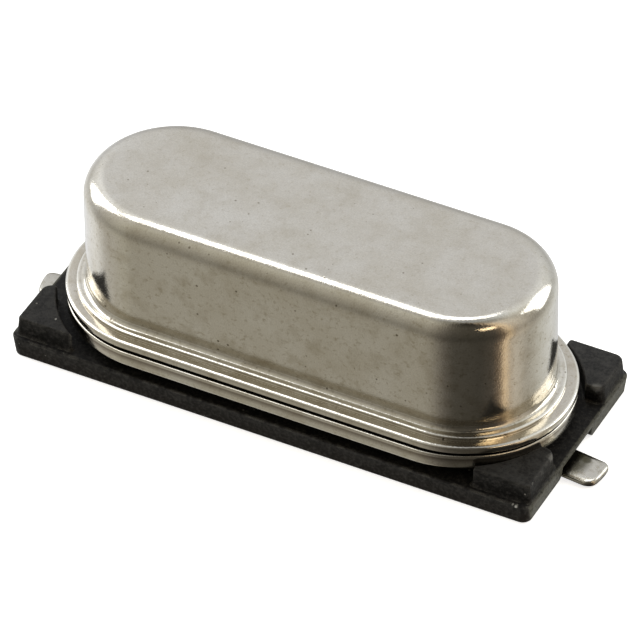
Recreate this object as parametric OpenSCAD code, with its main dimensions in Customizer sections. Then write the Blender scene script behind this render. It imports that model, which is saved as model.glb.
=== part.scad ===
// Low-profile quartz crystal in a resistance-welded metal can, on a moulded surface-mount base.
// Millimetres. X runs along the can, Y across it and Z up from the board. The origin is the
// middle of the underside, in the plane that the base and the two solder tabs share.

/* [Can] */
// Length of the drawn can over its curved ends
can_l = 10.10; // [8.4:0.05:12.3]
// Width of the drawn can
can_w = 3.65; // [3.4:0.05:4.4]
// Height of the can above the underside of its flange
can_h = 2.85; // [2.75:0.01:3.6]
// Thickness of the can's wall and top
can_wall = 0.20; // [0.15:0.01:0.25]
// Radius of the can's top edge
can_top_r = 0.44; // [0.35:0.01:0.55]
// Radius of the fillet at the foot of the wall
foot_r = 0.12; // [0.08:0.01:0.15]

/* [Can flange] */
// Reach of the flange beyond the can's wall
flange_reach = 0.43; // [0.4:0.005:0.6]
// Thickness of the flange
flange_t = 0.16; // [0.14:0.01:0.3]
// Reach of the coined ledge beyond the can's wall along the sides
ledge_reach_side = 0.21; // [0.2:0.01:0.3]
// Reach of the coined ledge beyond the can's wall at the ends
ledge_reach_end = 0.20; // [0.17:0.01:0.3]
// Height of the coined ledge above the flange
ledge_h = 0.085; // [0.03:0.005:0.1]
// Radius of the flange's outer top edge
flange_edge_r = 0.06; // [0.04:0.01:0.09]

/* [Header] */
// Thickness of the header's flange
header_t = 0.30; // [0.25:0.01:0.4]
// Radius of the flange's upper edge
header_edge_r = 0.06; // [0.03:0.01:0.1]
// Radius of the flange's lower edge
header_low_r = 0.09; // [0.04:0.01:0.12]
// Reach of the header's flange past the can's flange along the sides
header_lip_side = 0.055; // [0:0.005:0.1]
// Reach of the header's flange past the can's flange at the ends
header_lip_end = -0.02; // [-0.05:0.005:0.05]
// Height of the header's boss between the base and its flange
boss_h = 0.28; // [0.2:0.01:0.36]
// Setback of the boss from the can's wall line
boss_setback = 0.10; // [0.05:0.01:0.2]
// Height of the header's plateau above its flange, inside the can
plateau_h = 0.30; // [0.2:0.01:0.4]
// Gap between the plateau and the inside of the can
plateau_gap = 0.12; // [0.08:0.01:0.2]
// Height of the weld ridge that the can's flange is fused to
ridge_h = 0.04; // [0.02:0.01:0.06]
// Width of the weld ridge
ridge_w = 0.14; // [0.1:0.01:0.18]

/* [Leads] */
// Distance between the two pins
pin_pitch = 4.88; // [4:0.02:5.2]
// Diameter of the lead wire
wire_d = 0.43; // [0.36:0.01:0.52]
// Radius of the wire's bend, to its middle
bend_r = 0.30; // [0.26:0.01:0.34]
// Height of each pin's head above the plateau
post_h = 0.45; // [0.4:0.01:0.55]
// Thickness of the flattened solder tab
tab_t = 0.16; // [0.12:0.01:0.2]
// Width of the solder tab at the end of the base
tab_w = 0.84; // [0.6:0.01:0.9]
// Width of the solder tab at its tip
tab_tip_w = 0.76; // [0.5:0.01:0.85]
// Corner radius of the tip
tab_corner_r = 0.20; // [0.1:0.01:0.24]
// Length over which the round wire is pressed out flat
press_l = 0.60; // [0.4:0.01:0.8]
// Reach of the right tab past the end of the base
tab_reach_right = 0.68; // [0.3:0.01:0.9]
// Reach of the left tab past the end of the base
tab_reach_left = 0.42; // [0.3:0.01:0.9]
// Sideways drift of the right lead where it leaves its channel
tab_drift_right = -0.37; // [-0.38:0.01:0.2]
// Sideways drift of the left lead where it leaves its channel
tab_drift_left = -0.20; // [-0.38:0.01:0.2]

/* [Glass seals] */
// Diameter of each glass seal
seal_d = 1.35; // [1:0.01:1.6]
// Recess of the glass above the header's underside
seal_recess = 0.06; // [0.02:0.01:0.12]
// Height that the glass climbs up the pin
seal_climb = 0.06; // [0.02:0.01:0.1]

/* [Quartz and its mounting] */
// Length of the quartz blank
blank_l = 7.60; // [6.4:0.05:8]
// Width of the quartz blank, which stands on its long edge
blank_w = 1.50; // [1.3:0.01:1.55]
// Thickness of the quartz blank
blank_t = 0.14; // [0.08:0.01:0.18]
// Gap between the pins' heads and the blank
blank_lift = 0.15; // [0.05:0.01:0.2]
// Gap between the blank and each clip's sheet
clip_gap = 0.05; // [0.03:0.01:0.08]
// Thickness of the clips' sheet
clip_t = 0.08; // [0.05:0.01:0.1]
// Length of blank that each clip holds
clip_hold = 0.36; // [0.25:0.01:0.5]
// Thickness of each silver electrode
film_t = 0.02; // [0.01:0.005:0.025]
// Length of each electrode's middle field
field_l = 4.00; // [3:0.05:4.6]
// Width of each electrode's tab
film_tab_w = 0.50; // [0.3:0.01:0.6]
// Radius of each dot of conductive adhesive
dot_r = 0.28; // [0.2:0.01:0.34]

/* [Insulator base] */
// Thickness of the base plate
base_t = 0.44; // [0.4:0.01:0.55]
// Reach of the base past the header's flange at each end
base_over_end = 0.355; // [0.25:0.005:0.45]
// Offset of the base along the can
base_shift = -0.04; // [-0.08:0.005:0.08]
// Setback of the base inside the header's flange along each side
base_under_side = 0.01; // [0:0.005:0.1]
// Corner radius of the base in plan
base_corner_r = 0.20; // [0.1:0.01:0.35]
// Draft of the base's long sides, as a setback at the underside
base_draft_side = 0.01; // [0.01:0.01:0.08]
// Draft of the base's ends, as a setback at the underside
base_draft_end = 0.06; // [0.01:0.01:0.08]
// Radius of the base's lower edges
base_edge_r = 0.03; // [0.02:0.01:0.08]
// Height of the corner blocks above the plate
block_h = 0.40; // [0.3:0.01:0.5]
// Length of each corner block along the base
block_l = 1.22; // [1:0.01:1.4]
// Width of the two front blocks across the base
block_w_front = 1.25; // [0.8:0.01:1.3]
// Width of the two back blocks across the base
block_w_back = 1.10; // [0.8:0.01:1.3]
// Setback of the blocks' feet from the ends of the base
block_inset_end = 0.08; // [0.04:0.01:0.16]
// Setback of the front blocks' feet from the side of the base
block_inset_front = 0.15; // [0.04:0.01:0.2]
// Setback of the back blocks' feet from the side of the base
block_inset_back = 0.07; // [0.02:0.01:0.2]
// Draft of the blocks' outer faces, as a setback at their tops
block_draft = 0.06; // [0.02:0.01:0.1]
// Corner radius of the front blocks at the corners of the base
block_corner_r = 0.08; // [0.04:0.01:0.2]
// Radius of the back blocks' corners
block_round_r = 0.17; // [0.08:0.01:0.25]
// Radius of the front blocks' corners beside the leads
block_inner_r = 0.22; // [0.08:0.01:0.25]
// Gap between the blocks and the header's flange
block_gap = 0.175; // [0.1:0.005:0.2]
// Width of the channel under each lead
channel_w = 1.36; // [1.3:0.01:1.6]
// Offset of the channels across the base
channel_shift = -0.10; // [-0.12:0.01:0.12]
// Thickness of the web left above each channel
web_t = 0.11; // [0.08:0.01:0.14]
// Radius of the channel's lower edges
channel_edge_r = 0.14; // [0.05:0.01:0.2]
// Gap between each pin and its hole in the base
pin_gap = 0.12; // [0.08:0.01:0.2]

/* [Hidden] */
$fn = 72;
edge_r = 0.03;         // a small edge left by a press tool
sink = 0.02;           // how far one form of a piece runs into the next
past = 0.5;            // how far a cutting form runs past the face that it cuts
arc_steps = 8;         // straight steps in a quarter of a polygon's rounding

wall_r = can_w / 2;                       // radii are from the oval's middle line
can_run = can_l - can_w;
inner_r = wall_r - can_wall;
flange_r = wall_r + flange_reach;
header_r = flange_r + header_lip_side;
header_half = can_run / 2 + flange_r + header_lip_end;
header_run = 2 * (header_half - header_r);
boss_r = wall_r - boss_setback;
plateau_r = inner_r - plateau_gap;
ledge_r = wall_r + ledge_reach_side;
ledge_run = can_run + 2 * (ledge_reach_end - ledge_reach_side);
ridge_r = ledge_r - ridge_w / 2;

header_z = base_t + boss_h;               // underside of the header's flange
header_top = header_z + header_t;
can_z = header_top + ridge_h;             // underside of the can's flange
flange_top = can_z + flange_t;
ledge_top = flange_top + ledge_h;
can_top = can_z + can_h;
plateau_z = header_top + plateau_h;
post_top = plateau_z + post_h;

pin_x = pin_pitch / 2;
base_half_l = header_half + base_over_end;
base_half_w = header_r - base_under_side;
blank_z = post_top + blank_lift;
blank_mid = blank_z + blank_w / 2;
grip_y = blank_t / 2 + clip_gap;          // inner face of the clips' sheet
grip_end = blank_l / 2 + clip_gap;        // inner face of the clips' end wall

// Points along an arc of radius r about [x, y], from angle a to angle b.
function arc(x, y, r, a, b) =
    [for (i = [0 : arc_steps]) let (t = a + (b - a) * i / arc_steps) [x + r * cos(t), y + r * sin(t)]];

// A rectangle about the origin with rounded corners.
module rounded_rect(half_l, half_w, r) {
    polygon(concat(
        arc(half_l - r, half_w - r, r, 0, 90),
        arc(r - half_l, half_w - r, r, 90, 180),
        arc(r - half_l, r - half_w, r, 180, 270),
        arc(half_l - r, r - half_w, r, 270, 360)));
}

// A straight-sided oval in plan: two end circles whose middles are run apart.
module oval(run, r) {
    square([run, 2 * r], center = true);
    for (x = [-run / 2, run / 2]) translate([x, 0]) circle(r);
}

// Carries a half-section round the oval: x is outward from its middle line, y is up.
module round_oval(run) {
    for (turn = [0, 180]) rotate([0, 0, turn]) {
        translate([run / 2, 0, 0]) rotate([0, 0, -90]) rotate_extrude(angle = 180) children();
        translate([-run / 2, 0, 0]) rotate([90, 0, 90]) linear_extrude(run) children();
    }
}

// Deep-drawn cover: flat top, straight wall, coined ledge and welding flange in one sheet.
// The ledge is an oval of its own, a little shorter than the wall's.
module can() {
    top_in_r = can_top_r - can_wall;
    color([0.74, 0.72, 0.68]) {
        round_oval(can_run) polygon(concat(
            arc(flange_r - edge_r, can_z + edge_r, edge_r, -90, 0),
            arc(flange_r - flange_edge_r, flange_top - flange_edge_r, flange_edge_r, 0, 90),
            [[wall_r + foot_r, flange_top]],
            arc(wall_r + foot_r, ledge_top + foot_r, foot_r, 270, 180),
            arc(wall_r - can_top_r, can_top - can_top_r, can_top_r, 0, 90),
            [[0, can_top], [0, can_top - can_wall]],
            arc(inner_r - top_in_r, can_top - can_wall - top_in_r, top_in_r, 90, 0),
            arc(inner_r + can_wall, can_z + can_wall, can_wall, 180, 270)));
        difference() {
            translate([0, 0, flange_top - sink]) linear_extrude(ledge_h + sink) oval(ledge_run, ledge_r);
            translate([0, 0, flange_top - past]) linear_extrude(2 * past) oval(can_run, wall_r - sink);
        }
    }
}

// Stamped header: boss on the base, flange, weld ridge and a plateau inside the can,
// pierced for the two glass seals.
module header() {
    plateau_edge_r = 0.08;
    color([0.70, 0.68, 0.62]) difference() {
        union() {
            round_oval(header_run) polygon(concat(
                [[0, header_z]],
                arc(header_r - header_low_r, header_z + header_low_r, header_low_r, -90, 0),
                arc(header_r - header_edge_r, header_top - header_edge_r, header_edge_r, 0, 90),
                [[0, header_top]]));
            round_oval(can_run) polygon([[0, base_t], [boss_r, base_t],
                [boss_r, header_z + sink], [0, header_z + sink]]);
            round_oval(can_run) translate([ridge_r - ridge_w / 2, header_top - sink])
                square([ridge_w, ridge_h + sink]);
            round_oval(can_run) polygon(concat(
                [[0, header_top - sink], [plateau_r, header_top - sink]],
                arc(plateau_r - plateau_edge_r, plateau_z - plateau_edge_r, plateau_edge_r, 0, 90),
                [[0, plateau_z]]));
        }
        for (x = [-pin_x, pin_x]) translate([x, 0, base_t - past])
            cylinder(d = seal_d, h = plateau_z - base_t + 2 * past);
    }
}

// Glass bead fused into the header and round the pin, climbing it a little.
module glass_seal(side) {
    color([0.30, 0.42, 0.40]) translate([side * pin_x, 0, 0]) rotate_extrude()
        polygon(concat(
            [[wire_d / 2, base_t + seal_recess], [seal_d / 2, base_t + seal_recess],
             [seal_d / 2, plateau_z], [wire_d / 2 + seal_climb, plateau_z]],
            arc(wire_d / 2 + seal_climb, plateau_z + seal_climb, seal_climb, 270, 180)));
}

// Plan of the pressed strip, from where the wire is flat to the rounded tip.
module tab_plan(from_x, tip_x) {
    polygon(concat(
        [[from_x, wire_d / 2 + sink], [from_x, -wire_d / 2 - sink], [from_x + press_l, -tab_w / 2]],
        arc(tip_x - tab_corner_r, tab_corner_r - tab_tip_w / 2, tab_corner_r, 270, 360),
        arc(tip_x - tab_corner_r, tab_tip_w / 2 - tab_corner_r, tab_corner_r, 0, 90),
        [[from_x + press_l, tab_w / 2]]));
}

// One piece of wire: head flat for the clip, pin, bend, pressed heel and solder tab.
module lead(side, reach, drift) {
    bend_z = tab_t / 2 + bend_r;
    flat_x = bend_r + press_l;
    exit_x = base_half_l + side * base_shift - pin_x;
    swing = side * atan(drift / exit_x);
    tip_x = (exit_x + reach) / cos(swing);
    color([0.72, 0.70, 0.66]) translate([side * pin_x, 0, 0]) {
        difference() {
            translate([0, 0, bend_z]) cylinder(d = wire_d, h = post_top - bend_z);
            translate([-wire_d, grip_y, plateau_z + seal_climb])
                cube([2 * wire_d, wire_d, post_h]);
        }
        rotate([0, 0, (side > 0 ? 0 : 180) + swing]) {
            difference() {
                translate([bend_r, 0, bend_z]) rotate([90, 0, 0])
                    rotate_extrude(angle = 90, start = 180) translate([bend_r, 0]) circle(d = wire_d);
                translate([-wire_d, -wire_d, -wire_d]) cube([4 * wire_d, 2 * wire_d, wire_d]);
            }
            hull() {
                difference() {
                    translate([bend_r, 0, tab_t / 2]) rotate([0, 90, 0])
                        cylinder(d = wire_d, h = sink, $fn = 32);
                    translate([0, -wire_d, -wire_d]) cube([wire_d + bend_r, 2 * wire_d, wire_d]);
                }
                translate([flat_x, -wire_d / 2 - sink, 0]) cube([sink, wire_d + 2 * sink, tab_t]);
            }
            linear_extrude(tab_t) tab_plan(flat_x, tip_x);
        }
    }
}

// Spring clip folded from sheet: foot welded to the pin's head, arm, and a U that takes
// the end of the blank.
module clip(side) {
    foot_x = 0.18;
    foot_z = plateau_z + seal_climb + 0.04;
    hold_x = blank_l / 2 - clip_hold;
    hold_z = blank_z + 0.10;
    hold_top = blank_z + blank_w - 0.15;
    wall_x = grip_end + clip_t;
    finger_z = 0.16;
    color([0.62, 0.58, 0.50]) mirror([side > 0 ? 0 : 1, 0, 0]) {
        translate([0, grip_y + clip_t, 0]) rotate([90, 0, 0]) linear_extrude(clip_t) polygon([
            [pin_x - foot_x, foot_z], [pin_x + foot_x, foot_z], [wall_x, hold_z], [wall_x, hold_top],
            [hold_x, hold_top], [hold_x, hold_z + 0.45], [pin_x - foot_x, post_top]]);
        translate([grip_end, -grip_y - clip_t, hold_z])
            cube([clip_t, 2 * (grip_y + clip_t), hold_top - hold_z]);
        translate([hold_x, -grip_y - clip_t, hold_z + finger_z])
            cube([wall_x - hold_x, clip_t, hold_top - hold_z - 2 * finger_z]);
    }
}

// Rectangular plate of AT-cut quartz standing on its long edge.
module quartz_blank() {
    color([0.85, 0.88, 0.90]) translate([-blank_l / 2, -blank_t / 2, blank_z])
        cube([blank_l, blank_t, blank_w]);
}

// Silver film on one face: a middle field with a tab out to one end.
module electrode(face, end) {
    margin = 0.18;
    color([0.90, 0.90, 0.88]) mirror([0, face > 0 ? 1 : 0, 0])
        translate([0, -blank_t / 2, blank_mid]) rotate([90, 0, 0]) linear_extrude(film_t) {
            square([field_l, blank_w - 2 * margin], center = true);
            translate([end > 0 ? 0 : -blank_l / 2, -film_tab_w / 2]) square([blank_l / 2, film_tab_w]);
        }
}

// Dot of conductive adhesive that fills the clip's U round the end of the blank.
module adhesive(side) {
    dot_x = grip_end - dot_r * 0.8;
    color([0.60, 0.60, 0.58]) difference() {
        intersection() {
            translate([side * dot_x, grip_y, blank_mid]) rotate([90, 0, 0])
                cylinder(r = dot_r, h = 2 * grip_y);
            translate([-grip_end, -grip_y, blank_z]) cube([2 * grip_end, 2 * grip_y, blank_w]);
        }
        quartz_blank();
        electrode(side, side);
    }
}

// Moulded plate with four corner blocks that locate the header, a hole for each pin and a
// channel under each lead that opens at the end.
module insulator_base() {
    color([0.14, 0.14, 0.15]) difference() {
        union() {
            translate([base_shift, 0, 0]) intersection() {
                linear_extrude(base_t) rounded_rect(base_half_l, base_half_w, base_corner_r);
                rotate([90, 0, 90]) translate([0, 0, -base_half_l - past])
                    linear_extrude(2 * (base_half_l + past)) drafted_section(base_half_w, base_draft_side);
                rotate([90, 0, 0]) translate([0, 0, -base_half_w - past])
                    linear_extrude(2 * (base_half_w + past)) drafted_section(base_half_l, base_draft_end);
            }
            translate([base_shift, 0, 0]) corner_blocks();
        }
        for (side = [-1, 1]) {
            translate([side * pin_x, 0, -past])
                cylinder(r = wire_d / 2 + pin_gap, h = base_t + 2 * past);
            translate([side * pin_x, channel_shift, -past])
                cylinder(d = channel_w, h = base_t - web_t + past);
            translate([side * pin_x, channel_shift, 0]) rotate([0, 0, side > 0 ? 0 : 180])
                rotate([90, 0, 90]) linear_extrude(base_half_l) channel_section();
        }
    }
}

// Four blocks at the corners of the base, hollowed to clear the header, with drafted outer faces.
module corner_blocks() {
    end_x = base_half_l - block_inset_end;
    front_y = block_inset_front - base_half_w;
    back_y = base_half_w - block_inset_back;
    low = base_t - sink;
    high = base_t + block_h;
    slope = block_draft / (high - base_t);
    intersection() {
        translate([0, 0, low]) linear_extrude(high - low) difference() {
            for (side = [0, 1]) mirror([side, 0]) {
                translate([end_x, front_y]) block_plan(block_w_front, block_corner_r, block_inner_r);
                translate([end_x, back_y]) mirror([0, 1])
                    block_plan(block_w_back, block_round_r, block_round_r);
            }
            oval(header_run, header_r + block_gap);
        }
        rotate([90, 0, 90]) translate([0, 0, -end_x - past]) linear_extrude(2 * (end_x + past))
            polygon([[front_y - slope * sink, low], [back_y + slope * sink, low],
                [back_y - block_draft, high], [front_y + block_draft, high]]);
        rotate([90, 0, 0]) translate([0, 0, -base_half_w - past]) linear_extrude(2 * (base_half_w + past))
            polygon([[-end_x - slope * sink, low], [end_x + slope * sink, low],
                [end_x - block_draft, high], [block_draft - end_x, high]]);
    }
}

// Plan of one block, with its outer corner at the origin and its body towards -X and +Y.
module block_plan(w, corner_r, inner_r) {
    polygon(concat(
        [[-block_l, 0]],
        arc(-corner_r, corner_r, corner_r, 270, 360),
        arc(-inner_r, w - inner_r, inner_r, 0, 90),
        [[-block_l, w]]));
}

// End view of the base: sides drafted in towards the underside, lower edges rounded.
module drafted_section(half, draft) {
    low = half - draft;
    polygon(concat(
        [[half, base_t], [-half, base_t]],
        arc(base_edge_r - low, base_edge_r, base_edge_r, 180, 270),
        arc(low - base_edge_r, base_edge_r, base_edge_r, 270, 360)));
}

// End view of a lead's channel: straight sides and a rounded-over mouth at the underside.
module channel_section() {
    half = channel_w / 2;
    r = channel_edge_r;
    polygon(concat(
        [[half + r, -past]], arc(half + r, r, r, 270, 180),
        [[half, base_t - web_t], [-half, base_t - web_t]],
        arc(-half - r, r, r, 0, -90), [[-half - r, -past]]));
}

insulator_base();
header();
glass_seal(-1);  // glass_seal_left
glass_seal(1);  // glass_seal_right
lead(-1, tab_reach_left, tab_drift_left);  // lead_left
lead(1, tab_reach_right, tab_drift_right);  // lead_right
clip(-1);  // clip_left
clip(1);  // clip_right
quartz_blank();
electrode(-1, -1);  // electrode_front
electrode(1, 1);  // electrode_back
adhesive(-1);  // adhesive_left
adhesive(1);  // adhesive_right
can();
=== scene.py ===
import math
import bmesh
import bpy
import numpy as np
from mathutils import Matrix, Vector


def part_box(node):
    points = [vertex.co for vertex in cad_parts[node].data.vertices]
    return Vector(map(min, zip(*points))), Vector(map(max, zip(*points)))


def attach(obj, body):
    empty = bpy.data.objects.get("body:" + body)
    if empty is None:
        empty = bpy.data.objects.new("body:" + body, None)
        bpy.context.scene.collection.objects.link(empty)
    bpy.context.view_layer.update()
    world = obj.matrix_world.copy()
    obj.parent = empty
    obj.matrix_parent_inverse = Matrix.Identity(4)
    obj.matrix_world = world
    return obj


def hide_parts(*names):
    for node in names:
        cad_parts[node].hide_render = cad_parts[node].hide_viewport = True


# Two-lead quartz crystal: a welded nickel-plated can and header on a black moulded base.
# Lengths are worked out in millimetres and turned to metres as each mesh is made.
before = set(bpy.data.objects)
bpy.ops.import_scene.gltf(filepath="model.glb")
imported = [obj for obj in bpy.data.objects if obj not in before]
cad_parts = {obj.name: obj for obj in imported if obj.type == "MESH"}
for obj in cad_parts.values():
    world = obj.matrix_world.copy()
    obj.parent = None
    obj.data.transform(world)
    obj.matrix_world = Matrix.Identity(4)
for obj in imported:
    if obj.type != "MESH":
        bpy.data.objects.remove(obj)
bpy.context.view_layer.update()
mm = 0.001
past = 1.0             # mm that a cutting tool runs past what it cuts


# A node's lowest and highest corners in mm.
def boxMm(node):
    low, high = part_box(node)
    return np.array(low) / mm, np.array(high) / mm


sealLow, sealHigh = boxMm("glass_seal_right")
pinX = (sealLow[0] + sealHigh[0]) / 2      # mm from the middle to each lead's pin


# Points on the circle of that radius about (x, y), evenly spaced in angle.
def arcPoints(x, y, radius, fromDeg, toDeg, steps):
    t = np.radians(np.linspace(fromDeg, toDeg, steps + 1))
    return np.stack([x + radius * np.cos(t), y + radius * np.sin(t)], 1)


def circlePoints(radius, steps):
    return arcPoints(0, 0, radius, 0, 360, steps)[:-1]


# Evenly spaced points from a up to, but not including, b.
def linePoints(a, b, steps):
    t = np.arange(steps)[:, None] / steps
    return np.array(a, float) * (1 - t) + np.array(b, float) * t


# From 0 at one place to 1 at the other, with level ends: 3 t^2 - 2 t^3.
def easeStep(value, start, end):
    t = np.clip((value - start) / (end - start), 0, 1)
    return t * t * (3 - 2 * t)


# Each corner that has a radius becomes an arc that touches both its sides: the arc's middle lies
# radius / sin(half the corner) inside, and its points turn evenly from one side to the other.
def roundCorners(corners, radii, steps):
    p, r = np.asarray(corners, float), np.asarray(radii, float)[:, None]
    toLast, toNext = np.roll(p, 1, 0) - p, np.roll(p, -1, 0) - p
    toLast /= np.linalg.norm(toLast, axis=1, keepdims=True)
    toNext /= np.linalg.norm(toNext, axis=1, keepdims=True)
    half = np.arccos((toLast * toNext).sum(1, keepdims=True)) / 2
    inward = toLast + toNext
    middle = p + inward / np.linalg.norm(inward, axis=1, keepdims=True) * r / np.sin(half)
    first = p + toLast * r / np.tan(half) - middle
    last = p + toNext * r / np.tan(half) - middle
    turn, k = np.pi - 2 * half, np.linspace(0, 1, steps + 1)[:, None, None]
    arcs = middle + (np.sin((1 - k) * turn) * first + np.sin(k * turn) * last) / np.sin(turn)
    kept = (r[:, 0] > 0) | (k[:, :, 0] == 0)
    return np.swapaxes(arcs, 0, 1)[kept.T]


# Quads between neighbours on a rows by columns grid; the columns wrap round to their start.
def gridFaces(rows, columns):
    i, j = np.meshgrid(np.arange(rows - 1), np.arange(columns), indexing="ij")
    jNext = (j + 1) % columns
    corners = [i * columns + j, i * columns + jNext, (i + 1) * columns + jNext, (i + 1) * columns + j]
    return np.stack(corners, -1).reshape(-1, 4)


def shadeByAngle(mesh, smoothDeg):
    mesh.shade_smooth()
    mesh.set_sharp_from_angle(angle=math.radians(smoothDeg))


# A mesh object from points in mm: doubles merged, faces outward, smooth below that angle.
def meshObject(name, points, faces, smoothDeg=40):
    mesh = bpy.data.meshes.new(name)
    mesh.from_pydata((np.asarray(points) * mm).tolist(), [], faces)
    piece = bpy.data.objects.new(name, mesh)
    bpy.context.collection.objects.link(piece)
    b = bmesh.new()
    b.from_mesh(mesh)
    bmesh.ops.remove_doubles(b, verts=b.verts, dist=0.0005 * mm)
    bmesh.ops.recalc_face_normals(b, faces=b.faces)
    b.to_mesh(mesh)
    b.free()
    shadeByAngle(mesh, smoothDeg)
    return piece


# Closed rings of equal length, one above the other, joined by quads and capped at both ends.
def stackRings(name, rings, smoothDeg=40):
    rows, columns = rings.shape[:2]
    ends = [list(range(columns)), list(range((rows - 1) * columns, rows * columns))]
    return meshObject(name, rings.reshape(-1, 3), gridFaces(rows, columns).tolist() + ends, smoothDeg)


def atHeight(outline, z):
    return np.column_stack([outline, np.full(len(outline), z)])


# A round cutter about (x, 0) for a hole that ends at that height.
def makeDrill(x, radius, top, steps):
    circle = circlePoints(radius, steps) + (x, 0)
    return stackRings("drill", np.stack([atHeight(circle, z) for z in (-past, top + past)]))


# Joins the tools to the piece or cuts them from it, keeps the result and removes the tools.
def combine(piece, operation, tools):
    for tool in tools:
        step = piece.modifiers.new(operation, "BOOLEAN")
        step.operation, step.solver, step.object = operation, "EXACT", tool
    graph = bpy.context.evaluated_depsgraph_get()
    made = bpy.data.meshes.new_from_object(piece.evaluated_get(graph))
    piece.modifiers.clear()
    piece.data = made
    for tool in tools:
        bpy.data.objects.remove(tool)


def finishPiece(piece, material, slotName, *nodes):
    piece.data.materials.clear()
    piece.data.materials.append(material)
    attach(piece, "root")
    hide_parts(*nodes)


# sRGB hex to linear RGBA.
def linear(hexColour):
    parts = [int(hexColour[k:k + 2], 16) / 255 for k in (1, 3, 5)]
    return [c / 12.92 if c <= 0.04045 else ((c + 0.055) / 1.055) ** 2.4 for c in parts] + [1.0]


# Adds a shader node with its own settings. The inputs are a list in the node's own order, or are
# given by name or number, and each takes a value or another node's socket. What comes back is that
# output's socket. Map Range takes a value, the span it comes from and the span it goes to, 0 to 1 if
# not given, and is held at both ends. Mix takes 0: the share, 6 and 7: the two colours.
def addNode(tree, kind, inputs, output=0, **settings):
    made = tree.nodes.new("ShaderNode" + kind)
    for key, value in settings.items():
        setattr(made, key, value)
    given = inputs.items() if isinstance(inputs, dict) else enumerate(inputs)
    for key, value in given:
        if isinstance(value, bpy.types.NodeSocket):
            tree.links.new(value, made.inputs[key])
        else:
            made.inputs[key].default_value = value
    return made.outputs[output] if made.outputs else None


# An empty material with its object coordinates and its noises. Each noise has a name, the size of
# its features in mm, its detail and its roughness.
def newMaterial(name, noises):
    material = bpy.data.materials.new(name)
    material.use_nodes = True
    tree = material.node_tree
    tree.nodes.clear()
    place = addNode(tree, "TexCoord", [], "Object")
    made = {}
    for key, (size, detail, roughness) in noises.items():
        made[key] = addNode(tree, "TexNoise", {"Vector": place, "Scale": 1 / (size * mm),
                                               "Detail": detail, "Roughness": roughness})
    return material, tree, place, made


# Paints colours over a ground in turn: each layer is where it lies, as a share, and its hex colour.
def paintLayers(tree, ground, layers):
    for share, hexColour in layers:
        ground = addNode(tree, "Mix", {0: share, 6: ground, 7: linear(hexColour)}, 2, data_type="RGBA")
    return ground


# Dots: one in a cell of that size in mm, larger in some cells and absent from others. Share is how
# many cells have one, radius how large they get in mm, and soft the width of their edge in cells.
def dotsOf(tree, place, cell, share, radius, soft):
    away = addNode(tree, "TexVoronoi", {"Vector": place, "Scale": 1 / (cell * mm)}, "Distance")
    chance = addNode(tree, "SeparateColor", [away.node.outputs["Color"]])
    reach = addNode(tree, "MapRange", [chance, 1 - share, 1.0, 0.0, radius / cell])
    inside = addNode(tree, "Math", [reach, away], operation="SUBTRACT")
    return addNode(tree, "MapRange", [inside, 0.0, soft])


stage = {
    "turn": 27.67, "lift": 40.81, "roll": -0.77,          # degrees round, above and about the view
    "distance": 145.8, "aside": 0.0175, "above": -1.017,  # mm, the last two from the view's middle
    "lens": 408.9, "sensor": 36.0,                        # mm
}


# Right, up and back of a camera turned about Z from looking along +Y, lifted, then rolled.
def viewAxes(turn, lift, roll):
    a, e, s = np.radians([turn, lift, roll])
    back = np.array([np.sin(a) * np.cos(e), -np.cos(a) * np.cos(e), np.sin(e)])
    right = np.array([np.cos(a), np.sin(a), 0.0])
    up = np.cross(back, right)
    return right * np.cos(s) + up * np.sin(s), up * np.cos(s) - right * np.sin(s), back


# The turn that takes X, Y and Z to those three.
def turned(right, up, back):
    return Matrix(np.stack([right, up, back], 1).tolist()).to_4x4()


def makeCamera():
    right, up, back = viewAxes(stage["turn"], stage["lift"], stage["roll"])
    data = bpy.data.cameras.new("camera")
    data.lens, data.sensor_width = stage["lens"], stage["sensor"]
    data.clip_start, data.clip_end = 0.01, 20.0
    camera = bpy.data.objects.new("camera", data)
    bpy.context.collection.objects.link(camera)
    place = (back * stage["distance"] - right * stage["aside"] - up * stage["above"]) * mm
    camera.matrix_world = Matrix.Translation(place) @ turned(right, up, back)
    bpy.context.scene.camera = camera


studio = {
    "aheadTurn": 27.0,     # degrees round to the middle of the dark slot that the lens looks through
    "strength": 1.0,
    "floorHalf": 400, "floorDrop": 0.01,   # mm
    "floorColour": "#f4f4f2", "floorRough": 0.9, "floorGlow": 0.75,
    # light round the horizon: degrees from the slot's middle, and the colour there
    "around": [(-180, (0.65, 0.65, 0.66)), (-158, (0.95, 0.96, 0.98)), (-122, (1.0, 1.0, 0.99)),
               (-100, (0.60, 0.58, 0.54)), (-68, (0.52, 0.50, 0.43)), (-44, (0.33, 0.305, 0.255)),
               (-28, (0.155, 0.14, 0.12)), (-16, (0.085, 0.078, 0.065)), (18, (0.062, 0.056, 0.046)),
               (34, (0.09, 0.077, 0.062)), (44, (0.27, 0.20, 0.14)), (50, (1.03, 0.80, 0.53)),
               (56, (0.60, 0.51, 0.40)), (64, (0.69, 0.63, 0.54)), (82, (0.50, 0.47, 0.41)),
               (104, (0.68, 0.67, 0.62)), (132, (0.86, 0.87, 0.86)), (180, (0.65, 0.65, 0.66))],
    # how that is scaled from straight down to straight up: degrees of height and factor
    "upward": [(-90, 1.0), (-22, 1.0), (-7, 0.82), (3, 0.80), (18, 0.98), (40, 1.18), (62, 1.2),
               (74, 0.7), (90, 0.45)],
}


# Spreads the stops, each a place from 0 to 1 and a colour, over a colour ramp.
def setRamp(ramp, stops):
    while len(ramp.elements) < len(stops):
        ramp.elements.new(0.5)
    for element, (place, colour) in zip(ramp.elements, stops):
        element.position = place
        element.color = (*colour, 1)


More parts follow.
